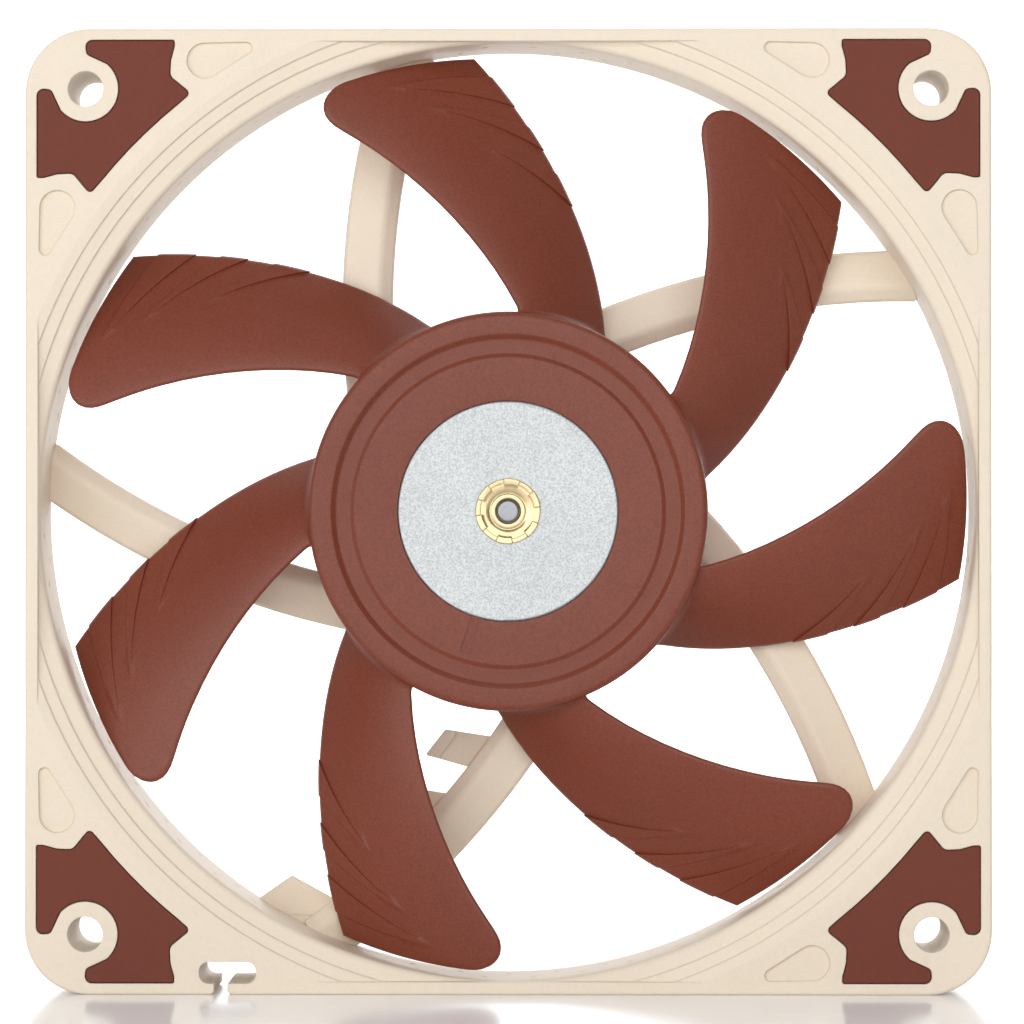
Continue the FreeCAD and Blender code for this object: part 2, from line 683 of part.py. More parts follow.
def plug_xz(along, across):
    """Point at the plug: along the diagonal, and across it towards the leads."""
    angle = radians(PLUG_ANGLE)
    return (along * cos(angle) - across * sin(angle),
            along * sin(angle) + across * cos(angle))


def wire_points(i):
    """Bend points of lead i, from the circuit board to the plug."""
    offset = (i - 1.5) * WIRE_STEP
    stack_y = WIRE_STACK_Y[i]
    leave = cable_angle(61.5, offset)
    # (radius, angle, y): channel, way forward outside the duct wall, clockwise run
    stations = [(radius, cable_angle(radius, offset), y) for radius, y in WIRE_CHANNEL]
    stations += [(61.5, leave, 6.40), (61.75, leave - 0.25, 5.2),
                 (61.78, leave - 0.35, (5.2 + stack_y + 0.9) / 2),
                 (61.78, leave - 1.1, stack_y + 0.35),
                 (WIRE_RUN_R, leave - 2.6, stack_y)]
    stations += [(WIRE_RUN_R, angle, stack_y) for angle in WIRE_RUN_ANGLES]
    points = [polar_point(*station) for station in stations]
    for across in (7.0, 3.6):
        x, z = plug_xz(WAY_D[i], across)
        points.append(Vector(x, PLUG_MID_Y, z))
    return points


def make_wire(i):
    """Straight runs joined by small round knuckles at the bends."""
    points = wire_points(i)
    bits = [Part.makeCylinder(WIRE_R, (end - start).Length, start, end - start)
            for start, end in zip(points, points[1:])]
    bits += [Part.makeSphere(WIRE_KNUCKLE_R, point) for point in points[1:-1]]
    return one(bits[0].multiFuse(bits[1:]))


def to_plug(shape, along=0.0):
    """Map local X across the diagonal and local Z along it, shifted by `along`."""
    across_x, across_z = plug_xz(0.0, 1.0)
    along_x, along_z = plug_xz(1.0, 0.0)
    x, z = plug_xz(along, 0.0)
    return shape.transformGeometry(FreeCAD.Matrix(across_x, 0, along_x, x,
                                                  0, 1, 0, 0,
                                                  across_z, 0, along_z, z,
                                                  0, 0, 0, 1))


def square_bar(x0, x1, half, along=0.0):
    """Local square bar on the mid height of the plug."""
    return block(x0, x1, PLUG_MID_Y - half, PLUG_MID_Y + half, along - half, along + half)


def make_terminal(along):
    terminal = square_bar(TERMINAL_X0, TERMINAL_X1, TERMINAL_HALF)
    return to_plug(terminal.cut(square_bar(-6.5, -0.5, SOCKET_HALF)), along)


def make_plug():
    plug = block(-PLUG_HALF_L, PLUG_HALF_L, PLUG_Y0, PLUG_Y1, PLUG_D0, PLUG_D1)
    plug = plug.makeFillet(PLUG_EDGE_R, [e for e in plug.Edges
                                         if e.BoundBox.XLength > 2 * PLUG_HALF_L - 0.1])
    for along in WAY_D:
        plug = plug.cut(square_bar(TERMINAL_X0 - 0.05, 24.05, CAVITY_HALF, along))
        plug = plug.cut(square_bar(-7.5, -3.5, SOCKET_HALF, along))
    return one(to_plug(plug))


# ================================================================ impeller
BLADE_COUNT = 7
BLADE_PITCH = 360.0 / BLADE_COUNT
HUB_R = 24.85
HUB_IN_R = 23.42
HUB_FACE_Y = -7.30
HUB_SKIRT_Y = 4.00
HUB_WINDOW_R = 13.70
HUB_WEB_Y = -6.00
GATE_R, GATE_CIRCLE_R, GATE_ANGLE = 0.55, 20.1, 20.7     # small round dimples
GATE_FLOOR_Y = -6.72
MARK_ANGLE, MARK_FLOOR_Y = 253.0, -6.90                  # radial notch in the face
TIP_R = 57.40
BLADE_ROOT_R = 24.05
# edge angles of the first blade in degrees, as cubics in (radius - 40) / 20,
# highest power first
TRAILING_CUBIC = (1.2869, -4.0749, 20.2769, 27.53)
LEADING_CUBIC = (1.8317, -2.9626, 18.7018, 51.9374)
LEADING_CUBIC_R = 50.8     # the leading edge follows its cubic out to here
# rounded outer corner of the leading edge: (radius, angle)
LEADING_CORNER = [(52.5, 62.77), (54.0, 63.36), (55.3, 63.17), (56.0, 62.75),
                  (56.6, 62.10), (57.05, 61.25), (57.31, 60.2), (TIP_R, 59.0)]
BLADE_Y_TRAILING = 2.95    # mid surface at the trailing edge
BLADE_Y_LEADING = -6.15    # mid surface at the leading edge, outer half
BLADE_Y_LEADING_ROOT = -5.35    # and at the hub
BLADE_CAMBER = 0.34
BLADE_INNER_R = 25.0       # where the blade's radial variations start
BLADE_BLEND = 18.0         # radial length over which the leading edge height settles
BLADE_EDGE_T = 0.75
BLADE_ROOT_T, BLADE_TIP_T = 2.1, 1.4     # greatest thickness at hub and tip
# the blade skins are interpolated past all four sides, then trimmed
SKIN_R0, SKIN_R1, SKIN_ROWS = 22.5, 60.0, 13
SKIN_S0, SKIN_SPAN, SKIN_COLUMNS = -0.12, 1.24, 15
TRIM_Y = 7.4


def make_hub():
    hub = spin([(HUB_R, HUB_SKIRT_Y, 0.3), (HUB_R, HUB_FACE_Y, 0.6),
                (21.95, HUB_FACE_Y, 0.2), (21.55, -6.82), (19.46, -6.85),
                (19.32, -7.02), (13.95, -7.02), (HUB_WINDOW_R, -6.85),
                (HUB_WINDOW_R, HUB_WEB_Y), (HUB_IN_R, HUB_WEB_Y),
                (HUB_IN_R, HUB_SKIRT_Y)])
    for k in range(BLADE_COUNT):
        x, z = polar(GATE_CIRCLE_R, GATE_ANGLE + k * BLADE_PITCH)
        hub = hub.cut(cylinder(GATE_R, FRONT, GATE_FLOOR_Y, x, z))
    mark = prism([(13.0, -0.6), (18.5, -0.6, 0.5), (18.5, 0.6, 0.5), (13.0, 0.6)],
                 FRONT, MARK_FLOOR_Y)
    return hub.cut(turn(mark, MARK_ANGLE))


def edge_angle(cubic, radius):
    x = (radius - 40.0) / 20.0
    return ((cubic[0] * x + cubic[1]) * x + cubic[2]) * x + cubic[3]


def smooth(t):
    """Smooth step from 0 to 1."""
    t = max(0.0, min(1.0, t))
    return t * t * (3 - 2 * t)


def blade_y(radius, s):
    """Front and rear y of the blade; s is 0 at the trailing edge, 1 at the leading."""
    t = 1.0 - s
    blend = smooth((radius - BLADE_INNER_R) / BLADE_BLEND)
    leading_y = BLADE_Y_LEADING_ROOT + (BLADE_Y_LEADING - BLADE_Y_LEADING_ROOT) * blend
    rise = BLADE_Y_TRAILING - leading_y
    middle = leading_y + rise * ((1 - BLADE_CAMBER) * t + BLADE_CAMBER * t * t)
    slope = rise * ((1 - BLADE_CAMBER) + 2 * BLADE_CAMBER * t)
    sweep = edge_angle(LEADING_CUBIC, radius) - edge_angle(TRAILING_CUBIC, radius)
    # thickness is square to the sloping mid surface, so its extent in y is larger
    stretch = sqrt(1 + (slope / (radians(sweep) * radius)) ** 2)
    outward = (radius - BLADE_INNER_R) / (TIP_R - BLADE_INNER_R)
    thickest = BLADE_ROOT_T + (BLADE_TIP_T - BLADE_ROOT_T) * outward
    thickness = BLADE_EDGE_T
    if 0.0 < t < 1.0:
        thickness += (thickest - BLADE_EDGE_T) * sin(pi * t ** 0.75) ** 0.9
    return middle - thickness * stretch / 2, middle + thickness * stretch / 2


def blade_skin(side):
    """Interpolated blade surface; side 0 is the front, 1 the rear."""
    rows = []
    for i in range(SKIN_ROWS):
        radius = SKIN_R0 + (SKIN_R1 - SKIN_R0) * i / (SKIN_ROWS - 1)
        trailing = edge_angle(TRAILING_CUBIC, radius)
        leading = edge_angle(LEADING_CUBIC, radius)
        row = []
        for j in range(SKIN_COLUMNS):
            s = SKIN_S0 + SKIN_SPAN * j / (SKIN_COLUMNS - 1)
            angle = trailing + (leading - trailing) * s
            row.append(polar_point(radius, angle, blade_y(radius, s)[side]))
        rows.append(row)
    surface = Part.BSplineSurface()
    surface.interpolate(rows)
    return surface


def borders(surface):
    u0, u1, v0, v1 = surface.bounds()
    curves = (surface.uIso(u0), surface.uIso(u1), surface.vIso(v0), surface.vIso(v1))
    return [curve.toShape() for curve in curves]


def blade_slab():
    """Oversize blade: both skins closed by ruled sides."""
    front, rear = blade_skin(0), blade_skin(1)
    sides = [Part.makeRuledSurface(a, b) for a, b in zip(borders(front), borders(rear))]
    shell = Part.makeShell([front.toShape(), rear.toShape()] + sides)
    shell.sewShape()
    # sewing may change the shape type
    if shell.ShapeType != "Shell":
        shell = Part.Shell(shell.Faces)
    slab = Part.makeSolid(shell)
    if slab.Volume < 0:
        slab.reverse()
    return slab


def edge_points(cubic, r_end, steps):
    """Points of a blade edge from the root to r_end, on the plane of the trim outline."""
    points = []
    for i in range(steps + 1):
        radius = BLADE_ROOT_R + (r_end - BLADE_ROOT_R) * i / steps
        points.append(polar_point(radius, edge_angle(cubic, radius), -TRIM_Y))
    return points


def spline(points):
    curve = Part.BSplineCurve()
    curve.interpolate(points)
    return curve.toShape()


def make_blade():
    """Slab trimmed to the outline of the blade seen along the axis."""
    trailing = edge_points(TRAILING_CUBIC, TIP_R, 10)
    leading = edge_points(LEADING_CUBIC, LEADING_CUBIC_R, 9)
    leading += [polar_point(radius, angle, -TRIM_Y) for radius, angle in LEADING_CORNER]
    tip_angle = (edge_angle(TRAILING_CUBIC, TIP_R) + LEADING_CORNER[-1][1]) / 2
    tip_middle = polar_point(TIP_R, tip_angle, -TRIM_Y)
    tip = Part.Arc(trailing[-1], tip_middle, leading[-1]).toShape()
    root = Part.LineSegment(leading[0], trailing[0]).toShape()
    outline = Part.Wire([spline(trailing), tip, spline(leading), root])
    form = Part.Face(outline).extrude(Vector(0, 2 * TRIM_Y, 0))
    return blade_slab().common(form).Solids[0]


def make_impeller():
    blade = make_blade()
    blades = [turn(blade, BLADE_PITCH * k) for k in range(BLADE_COUNT)]
    impeller = make_hub().multiFuse(blades)
    # clear the blade roots out of the hub
    return one(impeller.cut(cylinder(HUB_IN_R, HUB_WEB_Y, PAST)))


# ================================================================ rotor
YOKE_DISC_R = 13.60
YOKE_STEP_R = YOKE_DISC_R - 0.8          # inside of the raised disc
YOKE_OUT_R, YOKE_IN_R = 23.40, 22.40
YOKE_DISC_Y0, YOKE_DISC_Y1 = -7.05, -6.30
YOKE_WEB_Y0, YOKE_WEB_Y1 = HUB_WEB_Y, -5.20
YOKE_SKIRT_Y = 2.60
MAGNET_IN_R, MAGNET_OUT_R = 20.90, YOKE_IN_R - 0.02
MAGNET_Y0, MAGNET_Y1 = -5.15, 1.80
COLLAR_FLANGE_R = 4.08
COLLAR_BODY_R = 2.60
COLLAR_REAR_Y = -4.30
NOTCH_COUNT, NOTCH_R, NOTCH_ANGLE = 12, 0.42, 15.0       # notches round the flange
SHAFT_R = 1.50
SHAFT_Y0, SHAFT_Y1 = -7.20, 5.46
GROOVE_R, GROOVE_Y0, GROOVE_Y1 = 1.2, 4.50, 4.92         # clip groove in the shaft
CLIP_OUT_R = 2.3


def make_yoke():
    bore_r = COLLAR_BODY_R + 0.02
    return spin([(bore_r, YOKE_DISC_Y0), (YOKE_DISC_R, YOKE_DISC_Y0, 0.2),
                 (YOKE_DISC_R, YOKE_WEB_Y0), (YOKE_OUT_R, YOKE_WEB_Y0, 0.5),
                 (YOKE_OUT_R, YOKE_SKIRT_Y), (YOKE_IN_R, YOKE_SKIRT_Y),
                 (YOKE_IN_R, YOKE_WEB_Y1), (YOKE_STEP_R, YOKE_WEB_Y1),
                 (YOKE_STEP_R, YOKE_DISC_Y1, 0.3), (bore_r, YOKE_DISC_Y1)])


def make_shaft_collar():
    bore_r = SHAFT_R + 0.005
    collar = spin([(bore_r, -7.12), (1.95, -7.12), (2.0, -6.95), (2.22, -6.92),
                   (2.42, -7.0), (2.9, -7.22), (3.2, -7.30),
                   (COLLAR_FLANGE_R - 0.15, -7.30), (COLLAR_FLANGE_R, -7.2),
                   (COLLAR_FLANGE_R, YOKE_DISC_Y0), (COLLAR_BODY_R, YOKE_DISC_Y0),
                   (COLLAR_BODY_R, COLLAR_REAR_Y, 0.3), (bore_r, COLLAR_REAR_Y)])
    for k in range(NOTCH_COUNT):
        x, z = polar(COLLAR_FLANGE_R + 0.18, NOTCH_ANGLE + 360.0 / NOTCH_COUNT * k)
        collar = collar.cut(cylinder(NOTCH_R, -8.0, -7.12, x, z))
    return one(collar)


def make_shaft():
    return spin([(0, SHAFT_Y0), (SHAFT_R, SHAFT_Y0, 0.2), (SHAFT_R, GROOVE_Y0),
                 (GROOVE_R, GROOVE_Y0), (GROOVE_R, GROOVE_Y1), (SHAFT_R, GROOVE_Y1),
                 (SHAFT_R, 5.25), (1.1, SHAFT_Y1), (0, SHAFT_Y1)])


def make_shaft_clip():
    """Split ring with 0.02 play in the shaft groove."""
    in_r, y0, y1 = GROOVE_R + 0.02, GROOVE_Y0 + 0.02, GROOVE_Y1 - 0.02
    ring = spin([(in_r, y0), (CLIP_OUT_R, y0), (CLIP_OUT_R, y1), (in_r, y1)])
    return ring.cut(block(0, 4, 4, 5.5, -0.5, 0.5))


# ================================================================ build
pad_front = make_pad()
pad_rear = to_rear(pad_front)
for corner_name, sign_x, sign_z in CORNERS:
    save("pad_front_" + corner_name, flip(pad_front, sign_x, sign_z))
    save("pad_rear_" + corner_name, flip(pad_rear, sign_x, sign_z))

save("frame_housing", make_frame_housing())
save_bearing()
save("rear_label", cylinder(LABEL_R, LABEL_Y0, LABEL_Y1))
save_stator()

for wire_index, wire_name in enumerate(WIRE_NAMES):
    save(wire_name, make_wire(wire_index))
save("connector_housing", make_plug())
save("connector_terminals", Part.makeCompound([make_terminal(along) for along in WAY_D]))

save("impeller", make_impeller())
save("rotor_yoke", make_yoke())
save("ring_magnet", spin([
    (MAGNET_IN_R, MAGNET_Y0, 0.15), (MAGNET_OUT_R, MAGNET_Y0, 0.15),
    (MAGNET_OUT_R, MAGNET_Y1, 0.15), (MAGNET_IN_R, MAGNET_Y1, 0.15)]))
save("shaft_collar", make_shaft_collar())
save("shaft", make_shaft())
save("shaft_clip", make_shaft_clip())
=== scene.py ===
# An axial fan: square-on to the viewer, its axis along Y through the origin, +Z up.
# The front of the fan faces -Y. The CAD pieces get materials; the impeller, collar and
# shaft are rebuilt in detail. Geometry is given in millimetres, the studio in metres.
import bpy
import bmesh
import json
import numpy as np
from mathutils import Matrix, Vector
from math import sin, cos, tan, acos, hypot, radians, degrees, sqrt, pi


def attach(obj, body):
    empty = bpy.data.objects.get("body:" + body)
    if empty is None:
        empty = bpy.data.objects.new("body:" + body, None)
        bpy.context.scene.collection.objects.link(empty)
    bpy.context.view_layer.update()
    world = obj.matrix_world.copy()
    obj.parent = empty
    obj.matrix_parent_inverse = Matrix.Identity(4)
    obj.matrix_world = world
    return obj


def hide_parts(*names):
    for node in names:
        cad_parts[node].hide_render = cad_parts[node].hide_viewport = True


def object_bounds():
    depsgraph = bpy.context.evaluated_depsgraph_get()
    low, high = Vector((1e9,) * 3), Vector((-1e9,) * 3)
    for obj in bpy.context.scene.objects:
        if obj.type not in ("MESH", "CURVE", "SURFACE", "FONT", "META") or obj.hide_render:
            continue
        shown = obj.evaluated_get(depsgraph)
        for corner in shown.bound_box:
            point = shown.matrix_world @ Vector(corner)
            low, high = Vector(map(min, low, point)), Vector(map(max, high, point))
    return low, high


MM = 0.001  # one millimetre in metres

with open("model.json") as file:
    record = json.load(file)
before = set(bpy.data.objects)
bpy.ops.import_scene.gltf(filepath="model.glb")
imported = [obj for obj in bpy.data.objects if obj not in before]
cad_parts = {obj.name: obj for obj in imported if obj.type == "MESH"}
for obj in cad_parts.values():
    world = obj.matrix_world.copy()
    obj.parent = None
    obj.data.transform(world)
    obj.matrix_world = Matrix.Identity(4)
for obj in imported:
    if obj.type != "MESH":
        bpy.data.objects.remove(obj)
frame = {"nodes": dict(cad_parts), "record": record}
cad_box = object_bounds()


# ------------------------------------------------------------------ shader helpers
def new_material(name):
    material = bpy.data.materials.new(name)
    material.use_nodes = True
    tree = material.node_tree
    for node in list(tree.nodes):
        tree.nodes.remove(node)
    output = tree.nodes.new("ShaderNodeOutputMaterial")
    shader = tree.nodes.new("ShaderNodeBsdfPrincipled")
    tree.links.new(shader.outputs[0], output.inputs[0])
    return material, tree, shader


def object_coords(tree, stretch=(1, 1, 1)):
    source = tree.nodes.new("ShaderNodeTexCoord")
    mapping = tree.nodes.new("ShaderNodeMapping")
    mapping.inputs["Scale"].default_value = stretch
    tree.links.new(source.outputs["Object"], mapping.inputs["Vector"])
    return mapping.outputs[0]


def noise(tree, coords, scale, detail=3.0, roughness=0.55):
    node = tree.nodes.new("ShaderNodeTexNoise")
    node.inputs["Scale"].default_value = scale
    node.inputs["Detail"].default_value = detail
    node.inputs["Roughness"].default_value = roughness
    tree.links.new(coords, node.inputs["Vector"])
    return node.outputs[0]


def ramp(tree, factor, stops):
    """Colour ramp; stops are (position, colour)."""
    node = tree.nodes.new("ShaderNodeValToRGB")
    elements = node.color_ramp.elements
    while len(elements) < len(stops):
        elements.new(0.5)
    for element, (position, colour) in zip(elements, stops):
        element.position = position
        element.color = tuple(colour) + (1.0,)
    tree.links.new(factor, node.inputs[0])
    return node.outputs[0]


def combine(tree, operation, first, second):
    """Math node on a socket and a second socket or number."""
    node = tree.nodes.new("ShaderNodeMath")
    node.operation = operation
    tree.links.new(first, node.inputs[0])
    if isinstance(second, float):
        node.inputs[1].default_value = second
    else:
        tree.links.new(second, node.inputs[1])
    return node.outputs[0]


def multiply_colours(tree, first, second):
    node = tree.nodes.new("ShaderNodeMix")
    node.data_type = "RGBA"
    node.blend_type = "MULTIPLY"
    node.inputs[0].default_value = 1.0
    # sockets 6 and 7 are the colour inputs A and B
    tree.links.new(first, node.inputs[6])
    tree.links.new(second, node.inputs[7])
    return node.outputs[2]


def to_range(tree, value, low, high, from_low=0.0, from_high=1.0):
    node = tree.nodes.new("ShaderNodeMapRange")
    node.inputs["From Min"].default_value = from_low
    node.inputs["From Max"].default_value = from_high
    node.inputs["To Min"].default_value = low
    node.inputs["To Max"].default_value = high
    tree.links.new(value, node.inputs["Value"])
    return node.outputs[0]


def bump(tree, height, strength, distance, normal=None):
    node = tree.nodes.new("ShaderNodeBump")
    node.inputs["Strength"].default_value = strength
    node.inputs["Distance"].default_value = distance
    tree.links.new(height, node.inputs["Height"])
    if normal is not None:
        tree.links.new(normal, node.inputs["Normal"])
    return node.outputs[0]


def soft_edge(tree, radius):
    node = tree.nodes.new("ShaderNodeBevel")
    node.samples = 4
    node.inputs["Radius"].default_value = radius
    return node.outputs[0]


def grey(value):
    return (value, value, value)


def scaled(colour, factor):
    return tuple(min(1.0, channel * factor) for channel in colour)


def srgb(red, green, blue):
    """Linear colour from 0-255 sRGB values."""
    def linear(channel):
        channel /= 255.0
        return channel / 12.92 if channel <= 0.04045 else ((channel + 0.055) / 1.055) ** 2.4
    return (linear(red), linear(green), linear(blue))


# ------------------------------------------------------------------ materials
# Lengths here are in metres. vary and speck are relative changes of colour, grain is the
# scale of the fine noise, rough the range of roughness and edge the softened edge radius.
def plastic(name, base, vary=0.05, grain=2600.0, rough=(0.42, 0.56), bump_strength=0.10,
            edge=0.0002, subsurface=0.0, specular=0.5, speck=0.0):
    material, tree, shader = new_material(name)
    coords = object_coords(tree)
    broad = noise(tree, coords, scale=45.0, detail=4.0)
    fine = noise(tree, coords, scale=grain, detail=2.0, roughness=0.6)
    colour = ramp(tree, broad, [(0.30, scaled(base, 1 - vary)), (0.70, scaled(base, 1 + vary))])
    if speck > 0:
        specks = ramp(tree, fine, [(0.34, grey(1 - speck)), (0.50, grey(1)),
                                   (0.70, grey(1 + speck * 0.8))])
        colour = multiply_colours(tree, colour, specks)
    tree.links.new(colour, shader.inputs["Base Color"])
    gloss = to_range(tree, noise(tree, coords, scale=700.0), low=rough[0], high=rough[1])
    tree.links.new(gloss, shader.inputs["Roughness"])
    normal = soft_edge(tree, edge) if edge > 0 else None
    relief = bump(tree, fine, strength=bump_strength, distance=0.00004, normal=normal)
    tree.links.new(relief, shader.inputs["Normal"])
    shader.inputs["Specular IOR Level"].default_value = specular
    if subsurface > 0:
        shader.inputs["Subsurface Weight"].default_value = subsurface
        shader.inputs["Subsurface Radius"].default_value = (0.0012, 0.0008, 0.0005)
        shader.inputs["Subsurface Scale"].default_value = 1.0
    return material


def metal(name, base, rough=(0.25, 0.4), grain=900.0, stretch=(1, 1, 1), bump_strength=0.08,
          speck=0.0):
    material, tree, shader = new_material(name)
    fine = noise(tree, object_coords(tree, stretch), scale=grain, roughness=0.6)
    colour = ramp(tree, fine, [(0.30, scaled(base, 1 - speck)), (0.52, base),
                               (0.72, scaled(base, 1 + speck))])
    tree.links.new(colour, shader.inputs["Base Color"])
    shader.inputs["Metallic"].default_value = 1.0
    tree.links.new(to_range(tree, fine, low=rough[0], high=rough[1]), shader.inputs["Roughness"])
    relief = bump(tree, fine, strength=bump_strength, distance=0.00003,
                  normal=soft_edge(tree, radius=0.0001))
    tree.links.new(relief, shader.inputs["Normal"])
    return material


def yoke_steel():
    """Pale, slightly metallic steel with three sizes of mottling."""
    material, tree, shader = new_material("yoke_steel_mat")
    coords = object_coords(tree)
    fine = noise(tree, coords, scale=5200.0, detail=1.0, roughness=0.5)
    grit = noise(tree, coords, scale=2600.0, detail=2.0, roughness=0.6)
    broad = noise(tree, coords, scale=120.0)
    colour = ramp(tree, fine, [(0.36, srgb(196, 201, 203)), (0.48, srgb(213, 217, 218)),
                               (0.62, srgb(226, 229, 229))])
    grit_tint = ramp(tree, grit, [(0.36, (0.93, 0.935, 0.94)), (0.50, grey(1.0)),
                                  (0.64, grey(1.03))])
    colour = multiply_colours(tree, colour, grit_tint)
    broad_tint = ramp(tree, broad, [(0.35, grey(0.97)), (0.65, grey(1.03))])
    colour = multiply_colours(tree, colour, broad_tint)
    tree.links.new(colour, shader.inputs["Base Color"])
    shader.inputs["Metallic"].default_value = 0.20
    tree.links.new(to_range(tree, fine, low=0.48, high=0.66), shader.inputs["Roughness"])
    relief = bump(tree, fine, strength=0.30, distance=0.00004,
                  normal=soft_edge(tree, radius=0.0001))
    tree.links.new(relief, shader.inputs["Normal"])
    return material


def copper_winding():
    """Copper banded along X like wound wire."""
    material, tree, shader = new_material("copper_winding_mat")
    coords = object_coords(tree)
    wave = tree.nodes.new("ShaderNodeTexWave")
    wave.bands_direction = "X"
    wave.inputs["Scale"].default_value = 900.0
    wave.inputs["Distortion"].default_value = 0.6
    tree.links.new(coords, wave.inputs["Vector"])
    bands = wave.outputs["Fac"]
    colour = ramp(tree, bands, [(0.2, srgb(104, 46, 22)), (0.8, srgb(190, 104, 58))])
    tree.links.new(colour, shader.inputs["Base Color"])
    shader.inputs["Metallic"].default_value = 0.85
    shader.inputs["Roughness"].default_value = 0.32
    tree.links.new(bump(tree, bands, strength=0.5, distance=0.00008), shader.inputs["Normal"])
    return material


# keyed by the material slot each one fills
materials = {
    "frame_plastic": plastic(
        "frame_plastic_mat", srgb(240, 226, 206), vary=0.012, rough=(0.42, 0.55),
        bump_strength=0.06, edge=0.00022, subsurface=0.08, specular=0.4, speck=0.02),
    "impeller_plastic": plastic(
        "impeller_plastic_mat", srgb(125, 57, 36), grain=4200, rough=(0.40, 0.52),
        bump_strength=0.45, edge=0.0, speck=0.20),
    "pad_rubber": plastic(
        "pad_rubber_mat", srgb(115, 56, 41), vary=0.03, grain=3000, rough=(0.55, 0.66),
        edge=0.00012, specular=0.28, speck=0.05),
    "dark_plastic": plastic(
        "dark_plastic_mat", grey(0.02), vary=0.15, rough=(0.4, 0.55), edge=0.0001),
    "insulator_plastic": plastic(
        "insulator_mat", srgb(205, 200, 188), vary=0.04, rough=(0.45, 0.6), edge=0.0001),
    "label": plastic(
        "label_mat", srgb(176, 160, 140), vary=0.02, grain=1500, rough=(0.28, 0.4),
        bump_strength=0.03, edge=0.0),
    "circuit_board": plastic(
        "circuit_board_mat", srgb(28, 92, 46), vary=0.12, grain=1200, rough=(0.25, 0.4),
        edge=0.0),
    "component_ceramic": plastic(
        "component_mat", srgb(120, 98, 74), vary=0.15, rough=(0.4, 0.6), edge=0.00006),
    "magnet": plastic(
        "magnet_mat", (0.035, 0.033, 0.032), vary=0.2, grain=1800, rough=(0.5, 0.7),
        bump_strength=0.2, edge=0.0001),
}
WIRE_COLOURS = {"black": (28, 28, 28), "yellow": (226, 182, 40),
                "green": (44, 128, 62), "blue": (38, 78, 160)}
for wire, wire_colour in WIRE_COLOURS.items():
    materials["wire_" + wire] = plastic(
        "wire_%s_mat" % wire, srgb(*wire_colour), vary=0.06, rough=(0.35, 0.5), edge=0.0)
materials["brass"] = metal(
    "brass_mat", (0.60, 0.48, 0.28), rough=(0.18, 0.30), grain=1400, bump_strength=0.06,
    speck=0.08)
materials["bearing_metal"] = metal(
    "bearing_metal_mat", (0.50, 0.38, 0.22), rough=(0.45, 0.65), grain=2600,
    bump_strength=0.25, speck=0.3)
materials["shaft_steel"] = metal(
    "shaft_steel_mat", (0.28, 0.285, 0.30), rough=(0.28, 0.42), grain=1600, speck=0.08)
materials["lamination_steel"] = metal(
    "lamination_mat", (0.42, 0.43, 0.45), rough=(0.35, 0.5), grain=400, stretch=(1, 30, 1),
    bump_strength=0.4, speck=0.2)
materials["tinned_metal"] = metal("tinned_mat", (0.75, 0.75, 0.74), grain=1200, speck=0.08)
materials["yoke_steel"] = yoke_steel()
materials["copper_winding"] = copper_winding()


def paint_cad_pieces():
    slot_of = {part["node"]: part.get("material_slot", part["node"])
               for part in frame["record"]["subparts"]}
    for name, obj in frame["nodes"].items():
        material = materials[slot_of[name]]
        if not obj.material_slots:
            obj.data.materials.append(material)
        for slot in obj.material_slots:
            slot.material = material


paint_cad_pieces()


# ------------------------------------------------------------------ mesh helpers
def mesh_object(name, verts, faces, material, smooth=True):
    mesh = bpy.data.meshes.new(name)
    mesh.from_pydata(verts, [], faces)
    mesh.validate()
    mesh.update()
    obj = bpy.data.objects.new(name, mesh)
    bpy.context.scene.collection.objects.link(obj)
    mesh.materials.append(material)
    if smooth:
        for face in mesh.polygons:
            face.use_smooth = True
    return obj


def tidy(obj, distance=1e-7):
    """Merge vertices closer than distance (metres) and turn the faces outward."""
    work = bmesh.new()
    work.from_mesh(obj.data)
    bmesh.ops.remove_doubles(work, verts=work.verts, dist=distance)
    bmesh.ops.dissolve_degenerate(work, dist=distance, edges=work.edges)
    bmesh.ops.recalc_face_normals(work, faces=work.faces)
    work.to_mesh(obj.data)
    work.free()
    obj.data.update()


def polar(radius, y, angle):
    """Point in metres from a radius and height in mm, round the Y axis."""
    return (radius * cos(angle) * MM, y * MM, radius * sin(angle) * MM)


def ring_mesh(sections):
    """Closed ring round Y; each section is (angle, [(radius, y), ...])."""
    count = len(sections[0][1])
    verts = [polar(radius, y, angle) for angle, section in sections for radius, y in section]
    faces = []
    for j in range(len(sections)):
        here, there = j * count, (j + 1) % len(sections) * count
        for i in range(count):
            i_next = (i + 1) % count
            faces.append((here + i, here + i_next, there + i_next, there + i))
    return verts, faces


def prism_mesh(outline, y_start, y_end):
    """Prism along Y from an (x, z) outline in mm."""
    count = len(outline)
    verts = [(x * MM, y * MM, z * MM) for y in (y_start, y_end) for x, z in outline]
    faces = [tuple(range(count)), tuple(range(2 * count - 1, count - 1, -1))]
    for i in range(count):
        k = (i + 1) % count
        faces.append((i, i + count, k + count, k))
    return verts, faces


def joined(parts):
    """One vertex and face list from several."""
    verts, faces = [], []
    for part_verts, part_faces in parts:
        start = len(verts)
        verts += part_verts
        faces += [tuple(i + start for i in face) for face in part_faces]
    return verts, faces


